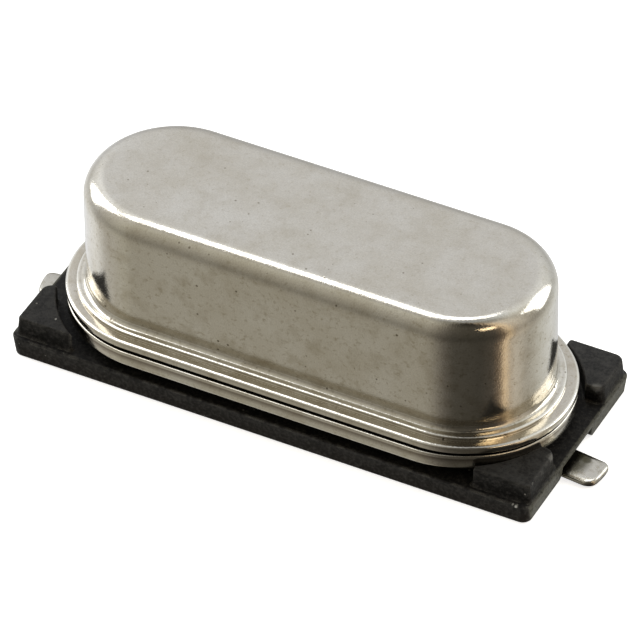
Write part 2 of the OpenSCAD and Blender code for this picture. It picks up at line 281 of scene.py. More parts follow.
# Soft studio: a dark slot in front, and light that grows round to both sides and the back. The
# ramp by height holds half of each factor, and the strength makes up for it.
def makeWorld():
    world = bpy.data.worlds.new("studio")
    bpy.context.scene.world = world
    world.use_nodes = True
    tree = world.node_tree
    tree.nodes.clear()
    way = addNode(tree, "TexCoord", [], "Generated")
    a = math.radians(studio["aheadTurn"])
    ahead = addNode(tree, "VectorMath", [way, (math.sin(a), -math.cos(a), 0)], "Value",
                    operation="DOT_PRODUCT")
    aside = addNode(tree, "VectorMath", [way, (math.cos(a), math.sin(a), 0)], "Value",
                    operation="DOT_PRODUCT")
    turn = addNode(tree, "Math", [aside, ahead], operation="ARCTAN2")
    turn = addNode(tree, "MapRange", [turn, -math.pi, math.pi])
    around = addNode(tree, "ValToRGB", [turn])
    setRamp(around.node.color_ramp, [((deg + 180) / 360, colour) for deg, colour in studio["around"]])
    height = addNode(tree, "SeparateXYZ", [way], "Z")
    lift = addNode(tree, "Math", [height], operation="ARCSINE")
    lift = addNode(tree, "MapRange", [lift, -math.pi / 2, math.pi / 2])
    upward = addNode(tree, "ValToRGB", [lift])
    setRamp(upward.node.color_ramp, [((deg + 90) / 180, (level / 2,) * 3) for deg, level in studio["upward"]])
    light = addNode(tree, "Mix", {0: 1.0, 6: around, 7: upward}, 2, data_type="RGBA", blend_type="MULTIPLY")
    glow = addNode(tree, "Background", [light, 2 * studio["strength"]])
    addNode(tree, "OutputWorld", [glow])


lamps = {   # degrees round and up, size in mm at a metre, radiance and colour
    "softboxLeft": {"turn": -98, "lift": 31, "wide": 420, "high": 850, "level": 2.3, "tint": (1, 1, 1)},
    "softboxRight": {"turn": 137, "lift": 28, "wide": 560, "high": 780, "level": 2.1, "tint": (1, 1, 1)},
    "softboxTop": {"turn": -130, "lift": 68, "wide": 640, "high": 240, "level": 2.2, "tint": (1, 1, 1)},
    "fillFront": {"turn": 58, "lift": 46, "wide": 260, "high": 200, "level": 2.4, "tint": (1, 0.78, 0.5)},
}


def makeLamps():
    for name, lamp in lamps.items():
        right, up, back = viewAxes(lamp["turn"], lamp["lift"], 0)
        data = bpy.data.lights.new(name, "AREA")
        data.shape = "RECTANGLE"
        data.size, data.size_y = lamp["wide"] * mm, lamp["high"] * mm
        data.energy = lamp["level"] * math.pi * data.size * data.size_y   # watts for that radiance
        data.color = lamp["tint"]
        light = bpy.data.objects.new(name, data)
        bpy.context.collection.objects.link(light)
        light.matrix_world = Matrix.Translation(back) @ turned(right, up, back)


# White sheet under the part; the metal reflects the studio and not the sheet.
def makeFloor():
    square = np.array([(-1, -1), (1, -1), (1, 1), (-1, 1)]) * studio["floorHalf"]
    floor = meshObject("floor", atHeight(square, -studio["floorDrop"]), [(0, 1, 2, 3)])
    material, tree = newMaterial("white sheet", {})[:2]
    shader = addNode(tree, "BsdfPrincipled", {
        "Base Color": linear(studio["floorColour"]), "Roughness": studio["floorRough"],
        "Emission Color": (1, 1, 1, 1), "Emission Strength": studio["floorGlow"]})
    addNode(tree, "OutputMaterial", {"Surface": shader})
    floor.data.materials.append(material)
    floor.visible_glossy = False


print("camera and studio")
makeCamera()
makeWorld()
makeLamps()
makeFloor()
bpy.context.scene.view_settings.view_transform = "Standard"


nickel = {
    "pale": "#d9d6ce", "dull": "#cdc8bc", "stain": "#b4ac9b", "fleck": "#a0967f", "speck": "#6e6452",
    # the darkest colour here is painted shade for the seam under the can's flange
    "heat": "#a79b86", "weld": "#1d1a16", "brownBelowLip": "#54402f", "burnishedHighlight": "#f3f1ea",
    # the palest colour is worn plate painted brighter as a painted highlight
    # size of the features in mm, detail and roughness. The grain of such a plate is about 0.01 mm,
    # and is drawn as coarse as it needs to show.
    "noises": {"cloud": (1.3, 5.0, 0.65), "stain": (0.42, 4.0, 0.62), "fleck": (0.10, 3.0, 0.7),
               "grain": (0.032, 2.0, 0.6)},
    # two levels of the noise, then what it gives at each: 0 and 1 if not said
    "spans": {"cloud": (0.35, 0.65), "stain": (0.50, 0.74), "fleck": (0.55, 0.74),
              "shade": (0.28, 0.72, 0.90, 1.06), "gloss": (0.3, 0.7)},
    "grainDeep": 0.0017,                       # mm
    "pores": {"cell": 0.22, "share": 0.55, "radius": 0.032, "soft": 0.06},
    "poreFade": (0.0, 0.7, 0.25, 1.0),         # two strengths of the marks, then the pores' at each
    # where a band starts, is full and ends: mm above the can's lower face, or mm below an edge
    "weldBand": (-0.01, 0.0, 0.02), "edgeHighlightBand": (0.045, 0.015, 0.002), "brownBelowLipBand": (0.20, 0.08, 0.045),
    # how strong each band is, and how far the heat's is full below the flange's top, mm
    "weldShare": 1.0, "edgeHighlightShare": 0.9, "brownBelowLipShare": 0.7, "heatShare": 0.3, "heatFull": 0.02,
    # roughness in the grain's lows and highs, and how strongly marks show low down and at the top
    "canRough": (0.03, 0.12), "headerRough": (0.12, 0.21),
    "canMarks": (0.7, 0.30), "headerMarks": (0.7, 0.4), "canMarkFade": 0.5,      # mm below the can's top
}


# Satin nickel plate over drawn sheet: warm grey, glossy enough to show soft shapes, with a fine
# peel that sparkles along the edges, cloudy stains and a scatter of dark pin pores. Each band has
# the heights in mm at which it starts, is full and ends, its strength, and its colour: the weld's
# heat tint, painted shade in the seam under the can, a painted highlight on the worn edge flats, and
# a darker brown below the header's top edge. Marked is how strongly stains, flecks and pores show at
# two heights.
def nickelPlate(name, rough, marked, bands):
    material, tree, place, noise = newMaterial(name, nickel["noises"])
    grain, span = noise["grain"], nickel["spans"]
    height = addNode(tree, "SeparateXYZ", [place], "Z")
    (lowZ, lowShare), (highZ, highShare) = marked
    climb = addNode(tree, "MapRange", [height, lowZ * mm, highZ * mm, lowShare, highShare])
    cloud = addNode(tree, "MapRange", [noise["cloud"], *span["cloud"]])
    stain = addNode(tree, "MapRange", [noise["stain"], *span["stain"]])
    stain = addNode(tree, "Math", [stain, climb], operation="MULTIPLY")
    fleck = addNode(tree, "MapRange", [noise["fleck"], *span["fleck"]])
    fleck = addNode(tree, "Math", [fleck, climb], operation="MULTIPLY")
    layers = [(cloud, nickel["pale"]), (stain, nickel["stain"]), (fleck, nickel["fleck"])]
    for start, full, end, strength, hexColour in bands:
        rise = addNode(tree, "MapRange", [height, start * mm, full * mm])
        fall = addNode(tree, "MapRange", [height, full * mm, end * mm, strength, 0.0])
        layers.append((addNode(tree, "Math", [rise, fall], operation="MULTIPLY"), hexColour))
    plate = paintLayers(tree, linear(nickel["dull"]), layers)
    shade = addNode(tree, "MapRange", [grain, *span["shade"]])
    plate = addNode(tree, "VectorMath", {0: plate, "Scale": shade}, operation="SCALE")
    pore = dotsOf(tree, place, **nickel["pores"])
    fewer = addNode(tree, "MapRange", [climb, *nickel["poreFade"]])
    pore = addNode(tree, "Math", [pore, fewer], operation="MULTIPLY")
    depth = addNode(tree, "Math", [grain, pore], operation="SUBTRACT")
    shader = addNode(tree, "BsdfPrincipled", {
        "Metallic": 1.0,
        "Base Color": paintLayers(tree, plate, [(pore, nickel["speck"])]),
        "Roughness": addNode(tree, "MapRange", [grain, *span["gloss"], *rough]),
        "Normal": addNode(tree, "Bump", {"Height": depth, "Distance": nickel["grainDeep"] * mm})})
    addNode(tree, "OutputMaterial", {"Surface": shader})
    return material


# Walks once round an oval: where each section stands on the middle line, and its outward way.
def ovalPath(run, arcSteps=72, sideSteps=40):
    half = run / 2
    t = np.radians(np.linspace(-90, 90, arcSteps, endpoint=False))
    side = np.linspace(half, -half, sideSteps, endpoint=False)
    stand = np.concatenate([np.full(arcSteps, half), side, np.full(arcSteps, -half), -side])
    outX = np.concatenate([np.cos(t), np.zeros(sideSteps), -np.cos(t), np.zeros(sideSteps)])
    outY = np.concatenate([np.sin(t), np.ones(sideSteps), -np.sin(t), -np.ones(sideSteps)])
    return stand, outX, outY


# Surface of profile times path: the point at radius r and height z of the profile goes to the
# path's middle-line place plus r times its outward way, at height z. Stray is what the radius
# gains at each profile point and path point.
def carryRoundOval(name, run, profile, stray):
    stand, outX, outY = ovalPath(run)
    r, z = profile[:, :1] + stray + 0 * stand, profile[:, 1:]
    points = np.stack([stand + r * outX, r * outY + 0 * stand, z + 0 * stand + 0 * r], -1)
    return meshObject(name, points.reshape(-1, 3), gridFaces(len(profile), len(stand)).tolist())


# Points over an outer edge that wear has given a narrow slanting flat: it dips by tilt degrees from
# the top, and an arc of the radius goes on from it to the upright side at r.
def wornEdge(r, z, radius, flat, tilt):
    dip = math.radians(tilt)
    middle = z - flat * math.sin(dip) - radius * math.cos(dip)
    low = np.array([r - radius + radius * math.sin(dip), middle + radius * math.cos(dip)])
    along = np.array([-math.cos(dip), math.sin(dip)])
    high = low + flat * along
    above, beside = np.array([0.008, 0]), 0.006 * along      # points by its ends keep the flat's shading flat
    return np.concatenate([[high - above, high - beside, low + beside],
                           arcPoints(r - radius, middle, radius, 90 - tilt, 0, 7)])


canSizes = {
    "wall": 0.20, "topRound": 0.44, "foot": 0.12, "reach": 0.43, "flange": 0.16,
    "ledge": 0.205, "ledgeHigh": 0.085, "ledgeRound": 0.02, "ledgeFoot": 0.01,
    "flangeRound": 0.045, "lowRound": 0.03,
    "edgeFlat": 0.042, "edgeTilt": 23,         # worn flat along the outer edges: mm and degrees
    # how the can and its header stray from true round: degrees from +X, then mm
    "turn": [-180, -90, -60, -38, -15, 5, 25, 50, 90, 150, 180],
    "ledgeDrift": [0.0, 0.0, 0.02, 0.028, 0.035, 0.01, -0.015, -0.02, -0.01, 0.0, 0.0],
    "flangeDrift": [0.0, 0.0, 0.01, 0.05, 0.06, 0.035, 0.01, -0.05, -0.05, 0.0, 0.0],
}


# The outline's drift by angle, and the share of it that each group of profile points takes.
def strayFrom(run, key, *groups):
    outX, outY = ovalPath(run)[1:]
    drift = np.interp(np.degrees(np.arctan2(outY, outX)), canSizes["turn"], canSizes[key])
    return np.concatenate([np.full(len(points), float(taken)) for points, taken in groups]), drift


# The can: outside, a flat top, the wall, the coined ledge and the welding flange; inside, the sheet's
# other face.
def makeCan():
    s = canSizes
    low, high = boxMm("can")
    flangeR, z0, top = high[1], low[2], high[2]
    wallR, run, rim = flangeR - s["reach"], 2 * (high[0] - flangeR), s["flangeRound"]
    flangeTop = z0 + s["flange"]
    ledgeTop = flangeTop + s["ledgeHigh"]
    inR, inRound = wallR - s["wall"], s["topRound"] - s["wall"]
    ledgeR = wallR + s["ledge"]
    above = np.concatenate([
        linePoints((0, top), (wallR - s["topRound"], top), 16),
        arcPoints(wallR - s["topRound"], top - s["topRound"], s["topRound"], 90, 0, 24),
        linePoints((wallR, top - s["topRound"]), (wallR, ledgeTop + s["foot"]), 20)[1:],
        arcPoints(wallR + s["foot"], ledgeTop + s["foot"], s["foot"], 180, 270, 12),
    ])
    ledge = np.concatenate([wornEdge(ledgeR, ledgeTop, s["ledgeRound"], s["edgeFlat"], s["edgeTilt"]),
                            [[ledgeR, flangeTop + s["ledgeFoot"]], [ledgeR + s["ledgeFoot"], flangeTop]]])
    flange = np.concatenate([
        wornEdge(flangeR, flangeTop, rim, s["edgeFlat"], s["edgeTilt"]),
        arcPoints(flangeR - s["lowRound"], z0 + s["lowRound"], s["lowRound"], 0, -90, 6),
    ])
    inside = np.concatenate([
        arcPoints(inR + s["wall"], z0 + s["wall"], s["wall"], 270, 180, 6),
        arcPoints(inR - inRound, top - s["wall"] - inRound, inRound, 0, 90, 8),
        [[0, top - s["wall"]]],
    ])
    ledgeShare, ledgeDrift = strayFrom(run, "ledgeDrift", (above, 0), (ledge, 1), (flange, 0), (inside, 0))
    flangeShare, flangeDrift = strayFrom(run, "flangeDrift", (above, 0), (ledge, 0), (flange, 1), (inside, 0))
    profile = np.concatenate([above, ledge, flange, inside])
    stray = ledgeShare[:, None] * ledgeDrift + flangeShare[:, None] * flangeDrift
    can = carryRoundOval("drawnCan", run, profile, stray)
    # The first band is painted shade: dark at the can's lower face, in the seam where it sits on the header.
    bands = [(*(z0 + up for up in nickel["weldBand"]), nickel["weldShare"], nickel["weld"]),
             (z0, flangeTop - nickel["heatFull"], ledgeTop, nickel["heatShare"], nickel["heat"])]
    # Worn flats on the flange's rim and the ledge's edge, painted pale as a painted highlight.
    for edge in (flangeTop, ledgeTop):
        edgeHighlight = [edge - down for down in nickel["edgeHighlightBand"]]
        bands.append((*edgeHighlight, nickel["edgeHighlightShare"], nickel["burnishedHighlight"]))
    marked = zip((top - nickel["canMarkFade"], top), nickel["canMarks"])
    plate = nickelPlate("nickel plate on drawn can", nickel["canRough"], marked, bands)
    finishPiece(can, plate, "nickel_plate", "can")


headerSizes = {"flange": 0.36, "lowRound": 0.10, "topRound": 0.03, "edgeFlat": 0.014, "edgeTilt": 20,
               "setback": 0.10, "ridge": 0.14, "ridgeHigh": 0.04,
               "plateau": 0.30, "plateauRound": 0.08, "plateauGap": 0.12,
               "driftShare": 1.3}    # how far it strays from true round, as a share of the can's flange


# The header: a flat flange with worn edges, a ridge where the can is welded on, a plateau inside the
# can, a boss below, and a drilled hole for each glass seal.
def makeHeader():
    s = headerSizes
    low, high = boxMm("header")
    canLow, canHigh = boxMm("can")
    headerR = high[1]
    run = 2 * (high[0] - headerR)
    wallR = canHigh[1] - canSizes["reach"]
    topZ = canLow[2] - s["ridgeHigh"]
    lowZ = topZ - s["flange"]
    bossR = wallR - s["setback"]
    ridgeOut = wallR + canSizes["ledge"]
    plateauR = wallR - canSizes["wall"] - s["plateauGap"]
    plateauZ = topZ + s["plateau"]
    inside = np.concatenate([
        [[0, plateauZ]],
        arcPoints(plateauR - s["plateauRound"], plateauZ - s["plateauRound"], s["plateauRound"], 90, 0, 5),
        [[plateauR, topZ], [ridgeOut - s["ridge"], topZ], [ridgeOut - s["ridge"], topZ + s["ridgeHigh"]]],
        [[ridgeOut, topZ + s["ridgeHigh"]], [ridgeOut, topZ]],
    ])
    flange = np.concatenate([
        wornEdge(headerR, topZ, s["topRound"], s["edgeFlat"], s["edgeTilt"]),
        arcPoints(headerR - s["lowRound"], lowZ + s["lowRound"], s["lowRound"], 0, -90, 10),
    ])
    below = np.array([[bossR, lowZ], [bossR, low[2]], [0, low[2]]])
    share, drift = strayFrom(run, "flangeDrift", (inside, 0), (flange, s["driftShare"]), (below, 0))
    profile = np.concatenate([inside, flange, below])
    header = carryRoundOval("stampedHeader", run, profile, share[:, None] * drift)
    combine(header, "DIFFERENCE", [makeDrill(x, sealHigh[1], plateauZ, 64) for x in (-pinX, pinX)])
    shadeByAngle(header.data, 40)
    # A darker brown band on the header's side, just below its top edge.
    bands = [(*(topZ - down for down in nickel["brownBelowLipBand"]), nickel["brownBelowLipShare"], nickel["brownBelowLip"])]
    marked = zip((lowZ, topZ), nickel["headerMarks"])
    plate = nickelPlate("nickel plate on header", nickel["headerRough"], marked, bands)
    finishPiece(header, plate, "plated_header", "header")


print("can")
makeCan()
print("header")
makeHeader()


moulding = {
    "plateTop": 0.44, "corner": 0.20, "draftSide": 0.01, "draftEnd": 0.06,
    "lowRound": 0.03, "topRound": 0.035,
    "blockLong": 1.26, "blockDraft": 0.03, "blockRound": 0.045, "footRound": 0.05,
    # how deep a block stands in the plate, how far above it the flare starts, radius of hidden corners
    "sunk": 0.02, "flareStart": 0.002, "seatCorner": 0.05,
    "gap": 0.175, "gapFrontRight": 0.09,       # round the header, narrower at the front right block
    # inset from the end and the side, width, and radii of the outer corner and the one by the lead
    "front": {"end": 0.08, "side": 0.15, "wide": 1.25, "outer": 0.09, "inner": 0.22},
    "back": {"end": 0.06, "side": 0.02, "wide": 1.15, "outer": 0.22, "inner": 0.17},
    "channelWide": 1.36, "channelShift": -0.10, "web": 0.11, "mouth": 0.14, "pinHole": 0.335,
    "endRub": (0.07, 0.045),                   # mm from each end at which the rubbing starts and is full
    # where it knocked or rubbed against others: middle, reach and strength
    "scuffs": [((5.47, -2.28, 0.40), 0.055, 1.0), ((5.40, -2.29, 0.43), 0.035, 1.0),
               ((5.62, 1.75, 0.66), 0.05, 0.6), ((5.55, 1.16, 0.83), 0.13, 0.30),
               ((5.66, -1.10, 0.83), 0.12, 0.30), ((5.79, -1.55, 0.78), 0.15, 0.22),
               ((5.70, -1.97, 0.82), 0.05, 0.5), ((-5.03, -1.82, 0.84), 0.03, 1.0)],
}


# Heights of points on a quarter round of radius 1, from its level end up: 1 - cos of even angles.
def quarterRise(steps):
    return 1 - np.cos(np.radians(np.linspace(0, 90, steps + 1)))


# How far an edge rounding of that radius draws a side in, at a distance up from the edge.
def roundingInset(distance, radius):
    up = np.clip(distance, 0, radius)
    return radius - np.sqrt(radius ** 2 - (radius - up) ** 2)


# The plate: rounded rectangles whose sides draw in with the draft and with both edge roundings.
def makePlate(halfX, halfY):
    s = moulding
    top, r, rise = s["plateTop"], s["corner"], quarterRise(6)
    heights = np.concatenate([s["lowRound"] * rise, top - s["topRound"] * rise[::-1]])
    inset = roundingInset(heights, s["lowRound"]) + roundingInset(top - heights, s["topRound"])
    x = halfX - inset - s["draftEnd"] * (1 - heights / top)
    y = halfY - inset - s["draftSide"] * (1 - heights / top)
    rings = [atHeight(roundCorners([(a, b), (-a, b), (-a, -b), (a, -b)], [r - c] * 4, 12), z)
             for a, b, c, z in zip(x, y, inset, heights)]
    return stackRings("insulatorBase", np.stack(rings))


# A corner block: rounded rectangles whose outer sides draw in with the draft. The upper edge is
# rounded and the foot flares into the plate, as does the wall of the seat cut out for the header,
# a stack of circles about the middle of the header's round end.
def makeBlock(halfX, halfY, blockHigh, seatX, seatR, kind, mirrorX, mirrorY):
    s = moulding
    foot, up, rise = s["footRound"], s["blockRound"], quarterRise(6)
    heights = np.concatenate([[-s["sunk"]], foot * rise + s["flareStart"], blockHigh - up * rise[::-1]])
    inset = roundingInset(blockHigh - heights, up) - roundingInset(heights, foot)
    draft = s["blockDraft"] * np.clip(heights, 0, None) / blockHigh
    x1, y1 = halfX - kind["end"], halfY - kind["side"]
    x0, y0 = x1 - s["blockLong"], y1 - kind["wide"]
    rings = []
    for z, e, d in zip(heights, inset, draft):
        corners = [(x0 + e, y0 + e), (x1 - d - e, y0 + e), (x1 - d - e, y1 - d - e), (x0 + e, y1 - d - e)]
        radii = [s["seatCorner"], kind["inner"] - e, kind["outer"] - e, s["seatCorner"]]
        rings.append(atHeight(roundCorners(corners, radii, 12) * (mirrorX, mirrorY), s["plateTop"] + z))
    block = stackRings("block", np.stack(rings))
    circle = circlePoints(1, 160)
    levels = np.concatenate([[-past], heights[1:], [blockHigh + past]])
    growth = np.concatenate([inset[1:2], inset[1:], inset[-1:]])
    circles = [atHeight(circle * (seatR + e) + (seatX * mirrorX, 0), s["plateTop"] + z)
               for z, e in zip(levels, growth)]
    combine(block, "DIFFERENCE", [stackRings("seat", np.stack(circles))])
    return block


# The space under a lead: a round-ended slot from the pin out past the end, with a rounded mouth.
def makeChannel(reach, side):
    s = moulding
    heights = np.concatenate([[-past], s["mouth"] * quarterRise(8), [s["plateTop"] - s["web"]]])
    rings = []
    for z, grow in zip(heights, roundingInset(heights, s["mouth"])):
        r = s["channelWide"] / 2 + grow
        slot = np.concatenate([arcPoints(pinX, 0, r, 90, 270, 24), [(reach, -r), (reach, r)]])
        rings.append(atHeight(slot * (side, 1) + (0, s["channelShift"]), z))
    return stackRings("channel", np.stack(rings))


black = {
    "dark": "#0f0e0d", "pale": "#282725", "shadow": "#070605", "foot": "#120b05", "top": "#3b3b3a",
    "rubbed": "#626256", "filler": "#3b3a37", "pit": "#060505", "edge": "#5c5a54",
    "speck": "#75736d", "knock": "#a3a29c",
    # size of the features in mm, detail and roughness. Filler is some 0.02 mm across and lies in
    # clumps of a few, which is what shows and what the grain draws.
    "noises": {"grain": (0.07, 4.0, 0.75), "cloud": (0.24, 3.0, 0.6), "wear": (0.16, 3.0, 0.6),
               "ragged": (0.06, 3.0, 0.7)},
    # two levels of the noise, then what it gives at each: 0 and 1 if not said
    "spans": {"mottle": (0.38, 0.62), "patchy": (0.40, 0.60, 0.15, 0.62), "broken": (0.35, 0.65, 0.25, 1.0),
              "filler": (0.48, 0.64, 0.0, 0.55), "pit": (0.48, 0.32, 0.0, 0.7), "worn": (0.42, 0.60),
              "gloss": (0.3, 0.7, 0.5, 0.66)},
    # two heights in mm above the plate's top, and what it gives at each
    "heights": {"shadowStart": (-0.04, 0.01, 0.0, 1.0), "shadowEnd": (0.20, 0.36, 0.75, 0.0),
                "foot": (-0.02, -0.34, 0.0, 0.9), "top": (0.375, 0.395, 0.0, 1.0)},
    "edgeCosine": (0.998, 0.95),     # of the turn from face to rounded edge: where wear starts, is full
    "edgeReach": 0.06, "raggedReach": 0.07, "grainDeep": 0.014,            # mm
    "knockFull": 0.3,                # share of its reach within which a knock is at full strength
    "specks": {"cell": 0.2, "share": 0.3, "radius": 0.032, "soft": 0.06},
}


# Glass-filled moulding compound straight from the tool, and handled since: matt charcoal with fine
# filler grain and mottling, painted shade over the plate's top and the foot of the blocks, darker
# and browner down the plate's sides, painted light on the block tops, paler where the edges and the
# trimmed ends rub, with a few grey knocks. Ends gives where along X the rubbing starts and is full.
def mouldedBlack(name, plateTop, ends, scuffs):
    material, tree, place, noise = newMaterial(name, black["noises"])
    grain, cloud, span = noise["grain"], noise["cloud"], black["spans"]
    along = addNode(tree, "SeparateXYZ", [place], "X")
    height = addNode(tree, "SeparateXYZ", [place], "Z")
    at = {}
    for key, (a, b, *shares) in black["heights"].items():
        at[key] = addNode(tree, "MapRange", [height, (plateTop + a) * mm, (plateTop + b) * mm, *shares])
    mottle = addNode(tree, "MapRange", [cloud, *span["mottle"]])
    # Painted shade over the plate's top and the lower sides of the blocks, where the header and blocks shade
    # it.
    shadow = addNode(tree, "Math", [at["shadowStart"], at["shadowEnd"]], operation="MULTIPLY")
    patchy = addNode(tree, "MapRange", [cloud, *span["patchy"]])
    # Painted light: the block tops made paler in patches, for the light that falls on them.
    top = addNode(tree, "Math", [at["top"], patchy], operation="MULTIPLY")
    layers = [(mottle, black["pale"]), (shadow, black["shadow"]), (at["foot"], black["foot"]),
              (top, black["top"])]
    broken = addNode(tree, "MapRange", [grain, *span["broken"]])
    for start, full in ends:
        rubbed = addNode(tree, "MapRange", [along, start * mm, full * mm])
        rubbed = addNode(tree, "Math", [rubbed, broken], operation="MULTIPLY")
        layers.append((rubbed, black["rubbed"]))
    filler = addNode(tree, "MapRange", [grain, *span["filler"]])
    pit = addNode(tree, "MapRange", [grain, *span["pit"]])
    soft = addNode(tree, "Bevel", {"Radius": black["edgeReach"] * mm}, samples=6)
    flat = addNode(tree, "NewGeometry", [], "Normal")
    edge = addNode(tree, "VectorMath", [soft, flat], "Value", operation="DOT_PRODUCT")
    edge = addNode(tree, "MapRange", [edge, *black["edgeCosine"]])
    worn = addNode(tree, "MapRange", [noise["wear"], *span["worn"]])
    edge = addNode(tree, "Math", [edge, worn], operation="MULTIPLY")
    speck = dotsOf(tree, place, **black["specks"])
    layers += [(filler, black["filler"]), (pit, black["pit"]), (edge, black["edge"]), (speck, black["speck"])]
    uneven = black["raggedReach"] * mm
    ragged = addNode(tree, "MapRange", [noise["ragged"], 0.0, 1.0, -uneven, uneven])
    for where, reach, strength in scuffs:
        middle, full = [c * mm for c in where], black["knockFull"] * reach
        away = addNode(tree, "VectorMath", [place, middle], "Value", operation="DISTANCE")
        away = addNode(tree, "Math", [away, ragged], operation="ADD")
        knock = addNode(tree, "MapRange", [away, reach * mm, full * mm, 0.0, strength])
        layers.append((knock, black["knock"]))
    shader = addNode(tree, "BsdfPrincipled", {
        "Specular IOR Level": 0.19,
        "Base Color": paintLayers(tree, linear(black["dark"]), layers),
        "Roughness": addNode(tree, "MapRange", [cloud, *span["gloss"]]),
        "Normal": addNode(tree, "Bump", {"Height": grain, "Strength": 0.6,
                                         "Distance": black["grainDeep"] * mm})})
    addNode(tree, "OutputMaterial", {"Surface": shader})
    return material


def makeBase():
    s = moulding
    low, high = boxMm("insulator_base")
    headerHigh = boxMm("header")[1]
    halfX, halfY, shift = (high[0] - low[0]) / 2, high[1], (high[0] + low[0]) / 2
    seatX = headerHigh[0] - headerHigh[1]
    base = makePlate(halfX, halfY)
    blocks = []
    for side, across, kind, gap in ((-1, -1, "front", "gap"), (-1, 1, "back", "gap"),
                                    (1, -1, "front", "gapFrontRight"), (1, 1, "back", "gap")):
        seatR = headerHigh[1] + s[gap]
        blocks.append(makeBlock(halfX, halfY, high[2] - s["plateTop"], seatX, seatR, s[kind], side, across))
    combine(base, "UNION", blocks)
    base.data.transform(Matrix.Translation((shift * mm, 0, 0)))
    cuts = [makeChannel(halfX + past, side) for side in (-1, 1)]
    cuts += [makeDrill(x, s["pinHole"], s["plateTop"], 40) for x in (-pinX, pinX)]
    combine(base, "DIFFERENCE", cuts)
    shadeByAngle(base.data, 35)
    even = base.modifiers.new("evenNormals", "WEIGHTED_NORMAL")
    even.keep_sharp = True
    ends = [[low[0] + into for into in s["endRub"]], [high[0] - into for into in s["endRub"]]]
    compound = mouldedBlack("black moulding compound", s["plateTop"], ends, s["scuffs"])
    finishPiece(base, compound, "black_moulding", "insulator_base")


print("base")
makeBase()


leadSizes = {
    "wire": 0.43, "bend": 0.30, "press": 0.60, "tab": 0.16, "tabWide": 0.84, "tipWide": 0.76,
    "square": 3.6,         # how square the pressed strip's section is: 2 is an ellipse
    "dome": 0.045,         # how far the tip's end bulges past its corners
    "tipEdge": 0.07,       # length over which the tip's end is rounded off
    "grip": 0.12,          # distance from the middle to the flat that the clip is welded to
    "spare": 0.01,         # mm that the tip keeps inside its box
    "closed": 0.97,        # how far the tip closes, short of a point
    # radii of the tip's corners on the far and near sides, how far the tip is cut askew, and the drift
    "left": {"far": 0.18, "near": 0.24, "skew": 0.14, "drift": -0.20},
    "right": {"far": 0.17, "near": 0.22, "skew": 0.0, "drift": -0.37},
    # the dark base's reflection painted on the right strip where it comes out: middle and reach, mm
    "baseReflection": [((5.74, -0.36, 0.10), 0.46), ((5.86, -0.03, 0.12), 0.25), ((6.01, -0.20, 0.16), 0.11)],
}


tinning = {
    "bright": "#c9c6bd", "dull": "#a39d8c", "pit": "#3c362c", "baseReflection": "#4d4a3a", "lowShade": "#2c2015",
    "noises": {"wave": (0.22, 3.0, 0.6), "patch": (0.16, 4.0, 0.65)},   # size in mm, detail, roughness
    # two levels of the noise, then what it gives at each: 0 and 1 if not said
    "spans": {"dull": (0.5, 0.72), "gloss": (0.35, 0.7, 0.14, 0.30)},
    "pits": {"cell": 0.17, "share": 0.4, "radius": 0.026, "soft": 0.05},
    "baseReflectionShare": 0.85, "baseReflectionFull": 0.6,        # how strong it is, and within what share of its reach
    "lowShadeShare": 0.92, "lowShadeTop": 0.12, "lowShadeFull": 0.06,      # share, heights in mm
    "waveDeep": 0.018,                         # mm
}


# Hot-tinned wire, pressed flat while soft: bright with shallow waves, dull patches of oxide, a few
# dark pits where the tin did not take, a painted reflection of the dark base on the right strip
# where it leaves the base, and painted shade along the lower edges.
def tinnedWire(name):
    material, tree, place, noise = newMaterial(name, tinning["noises"])
    s, span = tinning, tinning["spans"]
    height = addNode(tree, "SeparateXYZ", [place], "Z")
    dull = addNode(tree, "MapRange", [noise["patch"], *span["dull"]])
    pit = dotsOf(tree, place, **s["pits"])
    layers = [(dull, s["dull"]), (pit, s["pit"])]
    # Painted reflection: the strip darkened near the base, standing in for the dark base it mirrors.
    for where, reach in leadSizes["baseReflection"]:
        middle, full = [c * mm for c in where], s["baseReflectionFull"] * reach
        away = addNode(tree, "VectorMath", [place, middle], "Value", operation="DISTANCE")
        baseReflection = addNode(tree, "MapRange", [away, reach * mm, full * mm, 0.0, s["baseReflectionShare"]])
        layers.append((baseReflection, s["baseReflection"]))
    # Painted shade: the strip darkened towards its underside and lower edges.
    foot = [s["lowShadeTop"] * mm, s["lowShadeFull"] * mm]
    lowShade = addNode(tree, "MapRange", [height, *foot, 0.0, s["lowShadeShare"]])
    layers.append((lowShade, s["lowShade"]))
    depth = addNode(tree, "Math", [noise["wave"], pit], operation="SUBTRACT")
    shader = addNode(tree, "BsdfPrincipled", {
        "Metallic": 1.0,
        "Base Color": paintLayers(tree, linear(s["bright"]), layers),
        "Roughness": addNode(tree, "MapRange", [noise["patch"], *span["gloss"]]),
        "Normal": addNode(tree, "Bump", {"Height": depth, "Strength": 0.4, "Distance": s["waveDeep"] * mm})})
    addNode(tree, "OutputMaterial", {"Surface": shader})
    return material


